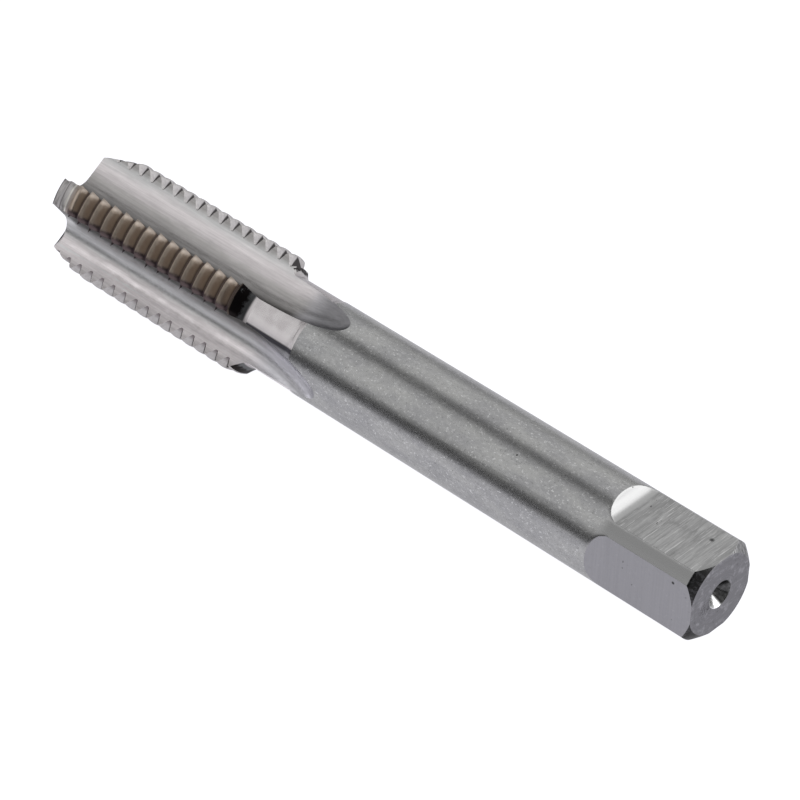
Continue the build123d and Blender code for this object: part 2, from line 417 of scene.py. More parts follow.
FL = M - 1
PER = FL + N + 1
for j in range(len(loops) - 1):
    a, b = loops[j], loops[j + 1]
    n = len(a)
    for c in range(n):
        d = (c + 1) % n
        k = c % PER
        # vertices k = 0..FL-1 are flute interior; FL..PER-1 are the land
        land = FL <= k < PER - 1
        if land:
            if j < n_thread - BACK_ROWS - 1:
                m = "thread"
            elif j < n_thread + 5:
                m = "back"
            elif row_zone[j] == "shank":
                m = "shank"
            else:
                m = "neck"
        else:
            m = "flute"
        quad(a[c], a[d], b[d], b[c], m)

# ---- rows on the plain shank and the square
EPS = 0.15
SQ = math.degrees(math.acos(SQUARE_H / R_SHANK))


def square_columns(tc):
    """th of the N+1 columns of one quarter when the flat ends at the angle tc."""
    t = list(np.linspace(0, tc - EPS, 10))
    t += list(np.linspace(tc + EPS, 90 - tc - EPS, 9))
    t += list(np.linspace(90 - tc + EPS, 90, 10))
    return np.array(t)


assert len(square_columns(SQ)) == N + 1, len(square_columns(SQ))


def flat_h(x):
    """Distance of the milled flat from the axis at x."""
    x = np.asarray(x, float)
    s = np.clip((-SQUARE_L - x) / SQUARE_R, 0, 1)
    return SQUARE_H + SQUARE_R * (1 - np.sqrt(1 - s * s))


def end_radius(x):
    """Radius of the turned end: shank, then the end chamfer."""
    x = np.asarray(x, float)
    return np.where(x > -CHAMFER_L, R_SHANK - (x + CHAMFER_L) * (R_SHANK - END_R) / CHAMFER_L, R_SHANK)


def from_flat(th):
    return np.abs((np.asarray(th) + 45.0) % 90.0 - 45.0)


def edge_x(th):
    """x of the curved edge that the square's cutter leaves on the shank."""
    f = np.radians(from_flat(th))
    c = np.clip((R_SHANK * np.cos(f) - SQUARE_H) / SQUARE_R, 0, 1)
    phi = np.arccos(1 - c)
    return -SQUARE_L - SQUARE_R * np.sin(phi)


def end_r(x, th):
    return np.minimum(end_radius(x), flat_h(x) / np.cos(np.radians(from_flat(th))))


prev = loops[-1]
shank_loops, shank_kind = [], []


def quarter_th(x):
    """Columns morph from even spacing at the run-out to the square's own."""
    k = np.clip((x - X_TIP) / (-20.0 - X_TIP), 0, 1)
    k = k * k * (3 - 2 * k)
    even = TH_TIP + 90.0 * u
    return even * (1 - k) + square_columns(SQ) * k


rows_x = list(np.linspace(X_TIP, -20.0, 34)) + [-18.5, -17.2, -16.2, -15.5]
for x in rows_x:
    loop = []
    q = quarter_th(x)
    for i in range(4):
        loop += add(cyl(x, R_SHANK, q[:-1] + 90.0 * i))
    shank_loops.append(loop)
    shank_kind.append(("shank", None))

SQC = square_columns(SQ)
ring = np.concatenate([SQC[:-1] + 90.0 * i for i in range(4)])
ex = edge_x(ring)
is_flat = from_flat(ring) < SQ
for k in (0.45, 0.8):
    x = -15.5 + (ex - 0.05 + 15.5) * k
    shank_loops.append(add(cyl(x, R_SHANK, ring)))
    shank_kind.append(("shank", None))
shank_loops.append(add(cyl(ex - 0.035, R_SHANK, ring)))
shank_kind.append(("edge", None))
steps = [0.0, 0.05, 0.15, 0.3, 0.45, 0.6, 0.75, 0.88, 1.0]
for k in steps:
    x = (ex + 0.035) + (-11.9 - ex - 0.035) * k
    shank_loops.append(add(cyl(x, end_r(x, ring), ring)))
    shank_kind.append(("square", None))
for x in list(np.linspace(-11.9, -CHAMFER_L - 0.05, 16)[1:]):
    shank_loops.append(add(cyl(x, end_r(x, ring), ring)))
    shank_kind.append(("square", None))
cham_x = [-CHAMFER_L + 0.05, -0.75, -0.58, -0.42, -0.28, -0.16, -0.07, -0.03]
for x in cham_x:
    tc = math.degrees(math.acos(min(1.0, SQUARE_H / float(end_radius(x)))))
    rr = np.concatenate([square_columns(tc)[:-1] + 90.0 * i for i in range(4)])
    shank_loops.append(add(cyl(x, end_r(x, rr), rr)))
    shank_kind.append(("cham", tc))
last_ring = rr

# run-out tips: the flute columns close on one vertex
a, b = loops[-1], shank_loops[0]
for c in range(len(a)):
    d = (c + 1) % len(a)
    i, k = divmod(c, PER)

    def to_shank(idx):
        q, kk = divmod(idx, PER)
        if kk < FL:
            return b[q * N]
        return b[(q * N + (kk - FL)) % len(b)]
    quad(a[c], a[d], to_shank(d), to_shank(c), "shank" if FL <= k < PER - 1 else "flute")

for j in range(len(shank_loops) - 1):
    a, b = shank_loops[j], shank_loops[j + 1]
    n = len(a)
    kind = shank_kind[j + 1][0]
    for c in range(n):
        d = (c + 1) % n
        k = c % N
        flat = k < 9 or k >= 19
        if kind in ("shank", "edge"):
            m = "shank"
        elif kind == "square":
            m = "flat" if flat else "shank"
        else:
            m = "flat" if flat else "chamfer"
        quad(a[c], a[d], b[d], b[c], m)

# ---- end face, its centre hole
outer = shank_loops[-1]
n = len(outer)
ra = np.array([math.hypot(tool[v][1], tool[v][2]) for v in outer])
mouth = 1.75
start = add(cyl(0.0, ra - 0.04, last_ring))
for c in range(n):
    quad(outer[c], outer[(c + 1) % n], start[(c + 1) % n], start[c], "face")
loop = start
ring_even = np.concatenate([np.linspace(0, 90, N + 1)[:-1] + 90.0 * i for i in range(4)])
for k in (0.12, 0.3, 0.5, 0.7, 0.86, 1.0):
    rr2 = (ra - 0.04) + (mouth + 0.05 - ra + 0.04) * k
    th2 = last_ring + (ring_even - last_ring) * k
    nxt = add(cyl(0.0, rr2, th2))
    for c in range(n):
        quad(loop[c], loop[(c + 1) % n], nxt[(c + 1) % n], nxt[c], "face")
    loop = nxt


def hole(loop, x_face, inward, mouth, pilot, pilot_l, th_list, name):
    """Countersink and pilot, going inward (+1 or -1 along x) from the face."""
    n = len(loop)
    cone = (mouth - pilot) / math.tan(math.radians(30))
    prof = [(0.03, mouth - 0.02), (0.10, mouth - 0.10 * math.tan(math.radians(30)))]
    prof += [(cone * k, mouth + (pilot - mouth) * k) for k in (0.2, 0.4, 0.6, 0.8, 0.97)]
    prof += [(cone + 0.06, pilot), (cone + pilot_l / 2, pilot), (cone + pilot_l, pilot), (cone + pilot_l + 0.2, pilot * 0.55)]
    for d, r in prof:
        nxt = add(cyl(x_face + inward * d, r, th_list))
        for c in range(n):
            quad(loop[c], loop[(c + 1) % n], nxt[(c + 1) % n], nxt[c], name)
        loop = nxt
    tip = add([[x_face + inward * (cone + pilot_l + 0.42), 0.0, 0.0]])[0]
    for c in range(n):
        quad(loop[c], loop[(c + 1) % n], tip, tip, name)


hole(loop, 0.0, -1, mouth, 0.8, 2.6, ring_even, "hole")

# ---- tip face, its centre hole
outer = loops[0]
n = len(outer)
P0 = np.array([tool[v] for v in outer])
ro = np.hypot(P0[:, 1], P0[:, 2])
to = np.unwrap(np.arctan2(-P0[:, 1], P0[:, 2]))
even = to[0] + np.linspace(0, 2 * math.pi, n + 1)[:-1]
mouth2 = 1.675
loop = outer
for k in (0.15, 0.35, 0.6, 0.85, 1.0):
    r2 = ro + (mouth2 + 0.05 - ro) * k
    t2 = to + (even - to) * max(0.0, (k - 0.3) / 0.7)
    nxt = add(cyl(-TOTAL_L, r2, np.degrees(t2)))
    for c in range(n):
        quad(nxt[c], nxt[(c + 1) % n], loop[(c + 1) % n], loop[c], "face")
    loop = nxt
n = len(loop)
cone = (mouth2 - 0.8) / math.tan(math.radians(30))
prof = [(0.03, mouth2 - 0.02)] + [(cone * k, mouth2 + (0.8 - mouth2) * k) for k in (0.25, 0.5, 0.75, 0.97)]
prof += [(cone + 0.06, 0.8), (cone + 2.6, 0.8), (cone + 2.8, 0.44)]
for d, r in prof:
    nxt = add(cyl(-TOTAL_L + d, r, np.degrees(even)))
    for c in range(n):
        quad(nxt[c], nxt[(c + 1) % n], loop[(c + 1) % n], loop[c], "hole")
    loop = nxt
tip = add([[-TOTAL_L + cone + 3.0, 0.0, 0.0]])[0]
for c in range(n):
    quad(tip, tip, loop[(c + 1) % n], loop[c], "hole")

# ------------------------------------------------------------------ mesh object
tool_np = np.array(tool)
world = place(tool_np)
mesh = bpy.data.meshes.new("tap_body")
mesh.from_pydata(world.tolist(), [], faces)
mesh.update()
obj = bpy.data.objects.new("tap_body", mesh)
bpy.context.scene.collection.objects.link(obj)
att = mesh.attributes.new("tool", "FLOAT_VECTOR", "POINT")
att.data.foreach_set("vector", tool_np.astype(np.float32).ravel())
mesh.polygons.foreach_set("material_index", np.array(mats, np.int32))
mesh.polygons.foreach_set("use_smooth", np.ones(len(faces), bool))

mesh.set_sharp_from_angle(angle=math.radians(40))
# the long edges of the square's flats are crisp
crisp = set()
for j in range(len(shank_loops) - 1):
    if shank_kind[j][0] != "shank":
        for c in range(4 * N):
            if c % N in (9, 10, 18, 19):
                crisp.add(frozenset((shank_loops[j][c], shank_loops[j + 1][c])))
for e in mesh.edges:
    if frozenset(e.vertices) in crisp:
        e.use_edge_sharp = True
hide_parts("tap")
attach(obj, "root")
weighted = obj.modifiers.new("weighted", "WEIGHTED_NORMAL")
weighted.mode = "FACE_AREA"
weighted.weight = 60
weighted.keep_sharp = True


# ------------------------------------------------------------------ burrs
# small dark burrs that hang off the crests at the worn heel of the first land
burr_points, burr_faces = [], []
for j in range(14):
    th0 = 60.2
    x0 = float(root_x(th0, j)) - PITCH / 2
    r0 = R_ROOT + (R_CREST - R_ROOT) * (1 - HEEL_WEAR)
    r0 = min(r0, float(body_radius(np.array([x0]), np.array([th0]))[0]) - 0.03)
    reach = 0.50 + 0.16 * math.sin(2.3 * j + 0.7)
    base = [(x0 - 0.15, r0 - 0.02, -0.25), (x0 + 0.16, r0 - 0.06, -0.25), (x0 + 0.14, r0 - 0.40, -0.25),
            (x0 - 0.12, r0 - 0.34, -0.25)]
    tip = [(x0 - 0.09, r0 - 0.02, reach * 0.5), (x0 + 0.07, r0 - 0.05, reach * 0.5), (x0 + 0.05, r0 - 0.22, reach * 0.45),
           (x0 - 0.08, r0 - 0.20, reach * 0.45), (x0 - 0.06, r0 + 0.01, reach)]
    n0 = len(burr_points)
    for x, r, along in base + tip:
        a = math.radians(th0)
        rad = np.array([0, -math.sin(a), math.cos(a)])
        tan = np.array([0, -math.cos(a), -math.sin(a)])
        burr_points.append(np.array([x, 0, 0]) + rad * r + tan * along)
    burr_faces += [(n0 + 3, n0 + 2, n0 + 1, n0)]
    burr_faces += [(n0 + i, n0 + (i + 1) % 4, n0 + 4 + (i + 1) % 4, n0 + 4 + i) for i in range(4)]
    burr_faces += [(n0 + 4 + i, n0 + 4 + (i + 1) % 4, n0 + 8) for i in range(4)]
burr_mesh = bpy.data.meshes.new("tap_burrs")
burr_mesh.from_pydata([tuple(place(q)) for q in burr_points], [], burr_faces)
burr_attr = burr_mesh.attributes.new("tool", "FLOAT_VECTOR", "POINT")
burr_attr.data.foreach_set("vector", np.array(burr_points, np.float32).ravel())
burrs = bpy.data.objects.new("tap_burrs", burr_mesh)
bpy.context.scene.collection.objects.link(burrs)
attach(burrs, "root")


# ------------------------------------------------------------------ materials
class Nodes:
    """Small helper that writes a node tree."""

    def __init__(self, tree):
        self.t = tree
        self.n = tree.nodes
        self.l = tree.links

    def put(self, kind, **sets):
        node = self.n.new(kind)
        for k, v in sets.items():
            setattr(node, k, v)
        return node

    def feed(self, sock, value):
        if isinstance(value, bpy.types.NodeSocket):
            self.l.new(value, sock)
        else:
            sock.default_value = value

    def math(self, op, a, b=0.0, c=0.0, clamp=False):
        m = self.put("ShaderNodeMath", operation=op, use_clamp=clamp)
        self.feed(m.inputs[0], a)
        self.feed(m.inputs[1], b)
        if len(m.inputs) > 2:
            self.feed(m.inputs[2], c)
        return m.outputs[0]

    def ramp(self, v, a, b, lo=0.0, hi=1.0, smooth=True):
        m = self.put("ShaderNodeMapRange")
        m.interpolation_type = "SMOOTHSTEP" if smooth else "LINEAR"
        self.feed(m.inputs["Value"], v)
        for nme, val in (("From Min", a), ("From Max", b), ("To Min", lo), ("To Max", hi)):
            self.feed(m.inputs[nme], val)
        return m.outputs[0]

    def noise(self, vec, scale, detail=2.0, rough=0.5, dist=0.0):
        m = self.put("ShaderNodeTexNoise")
        self.l.new(vec, m.inputs["Vector"])
        m.inputs["Scale"].default_value = scale
        m.inputs["Detail"].default_value = detail
        m.inputs["Roughness"].default_value = rough
        m.inputs["Distortion"].default_value = dist
        return m.outputs["Fac"]

    def stretch(self, vec, scale, rot=(0, 0, 0)):
        m = self.put("ShaderNodeMapping")
        self.l.new(vec, m.inputs["Vector"])
        m.inputs["Scale"].default_value = scale
        m.inputs["Rotation"].default_value = rot
        return m.outputs[0]

    def mixc(self, f, a, b, mode="MIX"):
        m = self.put("ShaderNodeMix", data_type="RGBA", blend_type=mode)
        self.feed(m.inputs[0], f)
        self.feed(m.inputs[6], a if isinstance(a, bpy.types.NodeSocket) else (*a, 1))
        self.feed(m.inputs[7], b if isinstance(b, bpy.types.NodeSocket) else (*b, 1))
        return m.outputs[2]


def steel(name, edge=0.6):
    m = bpy.data.materials.new(name)
    m.use_nodes = True
    k = Nodes(m.node_tree)
    bsdf = m.node_tree.nodes["Principled BSDF"]
    bsdf.inputs["Metallic"].default_value = 1.0
    bsdf.inputs["Specular Tint"].default_value = (edge, edge, edge, 1.0)
    at = k.put("ShaderNodeAttribute", attribute_name="tool", attribute_type="GEOMETRY")
    sep = k.put("ShaderNodeSeparateXYZ")
    k.l.new(at.outputs["Vector"], sep.inputs[0])
    k.pos = at.outputs["Vector"]
    k.x, k.y, k.z = sep.outputs
    k.r = k.math("SQRT", k.math("ADD", k.math("MULTIPLY", k.y, k.y), k.math("MULTIPLY", k.z, k.z)))
    # angle round the axis in degrees, 0 on top, rising towards -Y
    k.th = k.math("MULTIPLY", k.math("ARCTAN2", k.math("MULTIPLY", k.y, -1.0), k.z), 180 / math.pi)
    k.bsdf = bsdf
    return m, k


def finish_steel(k, color, rough, height=None, strength=0.3, distance=0.00002):
    k.feed(k.bsdf.inputs["Base Color"], color)
    k.feed(k.bsdf.inputs["Roughness"], rough)
    if height is not None:
        b = k.put("ShaderNodeBump")
        b.inputs["Strength"].default_value = strength
        b.inputs["Distance"].default_value = distance
        k.l.new(height, b.inputs["Height"])
        k.l.new(b.outputs[0], k.bsdf.inputs["Normal"])


def grey(v, tint=(1, 1, 1)):
    return tuple(v * t for t in tint)


def cyl_coords(k, sx, sa, sr=1.0):
    """Vector (x * sx, arc length * sa, r * sr) that wraps round the axis."""
    c = k.put("ShaderNodeCombineXYZ")
    k.feed(c.inputs[0], k.math("MULTIPLY", k.x, sx))
    k.feed(c.inputs[1], k.math("MULTIPLY", k.th, sa * 0.109))
    k.feed(c.inputs[2], k.math("MULTIPLY", k.r, sr))
    return c.outputs[0]


def curve(k, v, lo, hi, stops):
    """Grey level that follows v through the stops (v, level, tint)."""
    m = k.put("ShaderNodeValToRGB")
    cr = m.color_ramp
    for i, (p, level, tint) in enumerate(stops):
        q = (p - lo) / (hi - lo)
        e = cr.elements[i] if i < 2 else cr.elements.new(q)
        e.position = q
        e.color = (*grey(level, tint), 1)
    k.feed(m.inputs[0], k.ramp(v, lo, hi, smooth=False))
    return m.outputs[0]


def near(k, point, outer, inner):
    """1 within inner mm of a point, 0 beyond outer."""
    d = k.put("ShaderNodeVectorMath", operation="DISTANCE")
    k.l.new(k.pos, d.inputs[0])
    d.inputs[1].default_value = point
    return k.ramp(d.outputs["Value"], outer, inner)


PINK, PLAIN, COOL, WARM = (1.0, 0.945, 0.955), (1, 1, 1), (0.985, 0.975, 1.03), (1.0, 0.965, 0.95)


def mat_shank():
    m, k = steel("ground_shank", 0.72)
    fine = k.noise(cyl_coords(k, 3.2, 4.2), 1.6, 4.0, 0.62)
    mottle = k.noise(cyl_coords(k, 1.1, 1.5), 1.3, 4.0, 0.62)
    flecks = k.noise(cyl_coords(k, 1.9, 2.6), 1.7, 3.0, 0.6, 0.4)
    light = k.ramp(flecks, 0.605, 0.67)
    dark = k.ramp(flecks, 0.385, 0.32)
    cloud = k.noise(cyl_coords(k, 0.18, 0.5), 1.0, 3.0, 0.6)
    col = k.mixc(k.ramp(cloud, 0.35, 0.65), grey(0.305, (0.985, 0.985, 1.0)), grey(0.355, (1.0, 1.0, 0.99)))
    col = k.mixc(k.math("MULTIPLY", k.ramp(mottle, 0.50, 0.68), 0.35), col, grey(0.46))
    col = k.mixc(k.math("MULTIPLY", k.ramp(mottle, 0.46, 0.30), 0.35), col, grey(0.25))
    col = k.mixc(k.math("MULTIPLY", light, 0.6), col, grey(0.66))
    col = k.mixc(k.math("MULTIPLY", dark, 0.6), col, grey(0.15))
    # the corner strip of the square is duller than the shank
    strip = k.math("MULTIPLY", k.ramp(k.x, -14.2, -12.6), k.math("MULTIPLY", k.ramp(k.th, 36.0, 40.0), k.ramp(k.th, 60.0, 57.0)))
    strip_c = k.mixc(k.ramp(k.th, 44.0, 52.5), grey(0.225), grey(0.25))
    col = k.mixc(strip, col, strip_c)
    col = k.mixc(near(k, (-27.487, -3.146, 5.400), 0.16, 0.06), col, grey(0.04))
    # painted shade: darker round the back and underneath
    behind = k.math("MAXIMUM", k.ramp(k.th, -46.0, -66.0), k.ramp(k.th, 142.0, 162.0))
    col = k.mixc(k.math("MULTIPLY", behind, 0.7), col, grey(0.16))
    rough = k.ramp(fine, 0.3, 0.7, 0.24, 0.32, smooth=False)
    h = k.math("ADD", k.math("MULTIPLY", fine, 0.4), mottle)
    finish_steel(k, col, rough, h, 0.07, 0.00003)
    return m


def mat_neck():
    m, k = steel("polished_neck")
    cloud = k.noise(cyl_coords(k, 0.5, 0.5), 1.0, 3.0, 0.6)
    lines = k.noise(cyl_coords(k, 7.0, 0.3), 1.0, 3.0, 0.6)
    col = k.mixc(k.ramp(cloud, 0.35, 0.65), grey(0.46, (1.0, 0.945, 0.955)), grey(0.54, (1.0, 0.96, 0.965)))
    # painted highlight: brighter towards the heel side, where the roughness also rises
    heel = k.ramp(k.th, 46.0, 57.0)
    col = k.mixc(k.math("MULTIPLY", heel, 0.8), col, grey(0.86, (1.0, 0.955, 0.965)))
    # painted reflection: a dark streak just past the heel side, with plain grey below it
    near_side = k.math("MULTIPLY", k.ramp(k.th, 59.6, 62.0), k.ramp(k.th, 90.0, 85.0))
    below = k.mixc(k.ramp(k.th, 65.0, 68.0), (0.085, 0.083, 0.095), grey(0.34, COOL))
    col = k.mixc(near_side, col, below)
    rough = k.math("ADD", k.ramp(lines, 0.3, 0.7, 0.24, 0.30, smooth=False), k.math("MULTIPLY", heel, 0.16))
    finish_steel(k, col, rough, lines, 0.06, 0.00002)
    return m


def mat_flute():
    m, k = steel("ground_flute", 0.40)
    idx = k.math("ROUND", k.math("DIVIDE", k.th, 90.0))
    loc = k.math("RADIANS", k.math("SUBTRACT", k.th, k.math("MULTIPLY", idx, 90.0)))
    across = k.math("MULTIPLY", k.r, k.math("SINE", loc))
    wob = k.noise(cyl_coords(k, 0.25, 0.9, 0.9), 1.0, 3.0, 0.6)
    pos = k.math("ADD", across, k.math("MULTIPLY", k.math("SUBTRACT", wob, 0.5), 0.9))
    # painted light and shade across the flutes: a painted highlight half way down the heel side, painted shade at the
    # bottom; the second flute gets painted highlight bands of its own
    one = curve(k, pos, -4.2, 4.2, [(-4.2, 0.50, WARM), (-3.6, 0.46, WARM), (-3.2, 0.50, PLAIN),
                                    (-2.3, 0.66, PINK), (-1.8, 0.56, PINK), (-1.4, 0.51, PINK), (-0.9, 0.38, WARM),
                                    (-0.45, 0.32, WARM), (0.0, 0.44, WARM), (0.5, 0.21, WARM), (1.1, 0.145, WARM),
                                    (1.6, 0.175, WARM), (2.2, 0.34, WARM), (2.8, 0.40, PLAIN), (4.0, 0.46, PLAIN)])
    two = curve(k, pos, -4.2, 4.2, [(-4.2, 0.12, WARM), (-3.4, 0.10, WARM), (-2.5, 0.15, WARM), (-0.9, 0.31, WARM),
                                    (-0.5, 0.48, PLAIN), (0.0, 0.66, PLAIN), (0.5, 0.56, PLAIN), (1.1, 0.36, PLAIN),
                                    (1.6, 0.42, PLAIN), (2.1, 0.60, PLAIN), (2.5, 0.48, PINK), (2.9, 0.74, PINK),
                                    (3.15, 0.97, PINK), (3.4, 0.95, PINK), (3.6, 0.80, PINK), (4.0, 0.60, PINK)])
    # towards the shank the second flute is painted in bands of light and shade so that it matches the shank
    runout_paint = k.math("MULTIPLY", k.ramp(k.x, -71.0, -64.0),
                  k.math("MAXIMUM", k.ramp(across, -1.6, -0.2), k.ramp(k.x, -67.0, -64.8)))
    runout_paint_c = curve(k, across, -2.0, 4.0, [(-2.0, 0.34, COOL), (-1.0, 0.42, COOL), (-0.4, 0.74, COOL), (0.6, 0.82, COOL),
                                          (1.1, 0.41, COOL), (1.6, 0.39, COOL), (2.1, 0.68, COOL), (2.5, 0.40, COOL),
                                          (2.9, 0.62, COOL), (3.3, 0.96, COOL)])
    two = k.mixc(runout_paint, two, runout_paint_c)
    # the first flute ends in an even grey that rises to a painted highlight towards the cutting face
    even = k.math("MULTIPLY", k.ramp(k.x, -65.5, -62.5), 0.8)
    one = k.mixc(even, one, k.mixc(k.ramp(across, 0.8, 2.2), grey(0.43, COOL), grey(0.98, COOL)))
    second = k.math("COMPARE", idx, 1.0, 0.2)
    col = k.mixc(second, one, two)
    # the two flutes underneath are plain and painted darker: painted shade
    under = k.math("MAXIMUM", k.ramp(k.th, -46.0, -54.0), k.ramp(k.th, 134.0, 140.0))
    col = k.mixc(under, col, grey(0.26))
    # grinding marks run along the flute
    lines = k.noise(cyl_coords(k, 0.09, 3.4, 3.4), 1.4, 4.0, 0.62)
    broad = k.noise(cyl_coords(k, 0.12, 1.6, 1.6), 1.0, 3.0, 0.6)
    spots = k.noise(cyl_coords(k, 1.2, 2.0, 2.0), 1.4, 3.0, 0.6)
    gain = k.math("MULTIPLY", k.ramp(lines, 0.3, 0.7, 0.90, 1.12, smooth=False),
                  k.ramp(broad, 0.3, 0.7, 0.92, 1.08, smooth=False))
    # the last of the run-out is darker
    end = k.math("MULTIPLY", k.ramp(k.x, -65.0, -60.5), k.math("SUBTRACT", 1.0, second))
    gain = k.math("MULTIPLY", gain, k.math("SUBTRACT", 1.0, k.math("MULTIPLY", end, 0.48)))
    sc = k.put("ShaderNodeVectorMath", operation="SCALE")
    k.l.new(col, sc.inputs[0])
    k.l.new(gain, sc.inputs["Scale"])
    rough = k.ramp(spots, 0.3, 0.7, 0.28, 0.38, smooth=False)
    h = k.math("ADD", k.math("MULTIPLY", lines, 1.0), k.math("MULTIPLY", spots, 0.2))
    finish_steel(k, sc.outputs[0], rough, h, 0.25, 0.00003)
    return m


def groove_phase(k):
    """Position along the thread in mm from the last groove, and the distance from the middle of the nearest groove in
    mm, from x and the angle.
    """
    turn = k.math("SUBTRACT", k.math("ADD", k.x, -ROOT_X_TH0), k.math("MULTIPLY", k.th, 1 / 180.0))
    ph = k.math("DIVIDE", turn, PITCH)
    near = k.math("ROUND", ph)
    return turn, k.math("MULTIPLY", k.math("SUBTRACT", ph, near), PITCH)


def mat_thread(name="thread_form"):
    m, k = steel(name)
    turn, dx = groove_phase(k)
    off = k.math("ABSOLUTE", dx)
    height = k.math("SUBTRACT", k.r, R_ROOT)
    n1 = k.noise(cyl_coords(k, 1.4, 1.4, 1.4), 1.6, 4.0, 0.65)
    n2 = k.noise(cyl_coords(k, 3.0, 0.5, 3.0), 2.0, 3.0, 0.6)
    # first land: tan oxide, a painted highlight on the flanks towards the shank, painted shade in the roots and in a
    # band along the heel, bare worn cutting edge
    tan_c = k.mixc(k.ramp(n1, 0.3, 0.7), (0.245, 0.196, 0.158), (0.330, 0.274, 0.226))
    # the flanks that look towards the shank are painted paler: a painted highlight
    tan_c = k.mixc(k.ramp(dx, -0.15, -0.40), tan_c, (0.42, 0.352, 0.295))
    # painted shade in the groove roots
    root = k.ramp(off, 0.33, 0.15)
    tan_c = k.mixc(k.math("MULTIPLY", root, 0.86), tan_c, (0.045, 0.032, 0.030))
    edge = k.math("MULTIPLY", k.ramp(k.th, 36.0, 33.0), k.ramp(off, 0.25, 0.5))
    tan_c = k.mixc(k.math("MULTIPLY", edge, 0.45), tan_c, (0.40, 0.36, 0.33))
    # painted shade: a dark band along the heel, with a ragged edge
    ragged = k.math("ADD", k.th, k.math("MULTIPLY", k.math("SUBTRACT", n1, 0.5), 4.0))
    heel = k.ramp(ragged, 53.4, 57.2)
    tan_c = k.mixc(k.math("MULTIPLY", heel, 0.90), tan_c, (0.058, 0.041, 0.048))
    tan_c = k.mixc(k.ramp(k.x, -70.85, -70.60), tan_c, (0.085, 0.068, 0.058))
    # the other lands: bright flanks, painted dark as shade where they go deep inside the grooves
    gap = k.math("ADD", k.math("MULTIPLY", height, 1.386), 0.40)
    quarter = k.math("SUBTRACT", k.th, k.math("MULTIPLY", k.math("FLOOR", k.math("DIVIDE", k.th, 90.0)), 90.0))
    heel_in = k.math("MULTIPLY", k.math("SUBTRACT", 60.0, quarter), 0.138)
    face_in = k.math("MULTIPLY", k.math("SUBTRACT", quarter, 32.0), 0.138)
    inside = k.math("DIVIDE", k.math("MINIMUM", heel_in, face_in), gap)
    # painted shade deep inside the grooves, by distance from the land's edges
    deep = k.math("MULTIPLY", k.ramp(inside, 0.84, 1.10), k.ramp(off, 0.90, 0.80))
    pale = k.mixc(k.ramp(n1, 0.3, 0.7), grey(0.38, (1.0, 0.965, 0.955)), grey(0.48, (1.0, 0.97, 0.96)))
    # painted shade: the undersides of these lands are darker
    under = k.math("MAXIMUM", k.ramp(k.th, -66.0, -80.0), k.ramp(k.th, 166.0, 176.0))
    pale = k.mixc(under, pale, grey(0.24, (1.0, 0.97, 0.96)))
    # painted shade in the roots of the lower land
    lower_root_shade = k.math("MULTIPLY", k.ramp(off, 0.55, 0.20), k.math("MULTIPLY", k.ramp(k.th, 100.0, 105.0), k.ramp(k.th, 160.0, 155.0)))
    pale = k.mixc(k.math("MULTIPLY", lower_root_shade, 0.75), pale, (0.12, 0.095, 0.10))
    pale = k.mixc(k.math("MULTIPLY", deep, 0.94), pale, (0.025, 0.022, 0.022))
    first = k.math("MULTIPLY", k.ramp(k.th, 20.0, 24.0), k.ramp(k.th, 72.0, 68.0))
    col = k.mixc(first, pale, tan_c)
    # the ground lead is bare and grey
    lead = k.math("MULTIPLY", k.ramp(turn, -27.30, -27.50), first)
    lead_c = k.mixc(k.ramp(n2, 0.3, 0.7), grey(0.32, (1.0, 0.97, 0.96)), grey(0.46, (1.0, 0.96, 0.96)))
    lead_c = k.mixc(k.ramp(turn, -27.86, -28.02), (0.30, 0.262, 0.240), lead_c)
    # painted highlight: a pale line across the lead
    line = k.math("MULTIPLY", k.ramp(turn, -28.00, -28.12), k.ramp(turn, -28.48, -28.30))
    lead_c = k.mixc(line, lead_c, (0.62, 0.60, 0.56))
    scratch = k.math("MULTIPLY", k.ramp(turn, -29.00, -29.10), k.ramp(turn, -29.34, -29.24))
    lead_c = k.mixc(k.math("MULTIPLY", scratch, 0.7), lead_c, (0.10, 0.09, 0.09))
    lead_c = k.mixc(k.math("MULTIPLY", k.ramp(k.x, -101.72, -101.86), 0.8), lead_c, (0.06, 0.055, 0.055))
    col = k.mixc(lead, col, lead_c)
    rough = k.ramp(n1, 0.3, 0.7, 0.34, 0.46, smooth=False)
    h = k.math("ADD", k.math("MULTIPLY", n1, 0.5), n2)
    finish_steel(k, col, rough, h, 0.25, 0.00003)
    return m


def mat_back():
    m, k = steel("back_chamfer")
    n1 = k.noise(cyl_coords(k, 1.6, 1.5), 1.2, 4.0, 0.68)
    # black, giving way in a ragged line to grey towards the neck
    ragged = k.math("ADD", k.x, k.math("MULTIPLY", k.math("SUBTRACT", n1, 0.5), 1.3))
    bare = k.ramp(ragged, -69.40, -69.05)
    grey_specks = k.math("MULTIPLY", k.ramp(n1, 0.60, 0.64), k.ramp(k.th, 42.0, 36.0))
    col = k.mixc(k.math("MAXIMUM", bare, grey_specks), (0.012, 0.010, 0.010), grey(0.13, (0.98, 1.0, 1.03)))
    # on the far top land only its foot is painted black: painted shade at the root
    foot = k.math("MULTIPLY", k.ramp(ragged, -69.55, -69.40), k.ramp(ragged, -68.95, -69.10))
    far = k.mixc(foot, grey(0.46, (1.0, 0.965, 0.955)), (0.03, 0.028, 0.028))
    col = k.mixc(k.math("MULTIPLY", k.ramp(k.th, 6.0, 0.0), k.ramp(k.th, -80.0, -74.0)), col, far)
    col = k.mixc(k.ramp(k.x, -68.85, -68.60), col, grey(0.50, PINK))
    finish_steel(k, col, 0.32, n1, 0.2, 0.00003)
    return m


def mat_burr():
    m, k = steel("burr")
    n1 = k.noise(k.pos, 4.0, 3.0, 0.6)
    finish_steel(k, k.mixc(n1, (0.030, 0.024, 0.026), (0.075, 0.060, 0.064)), 0.45, n1, 0.3, 0.00003)
    return m


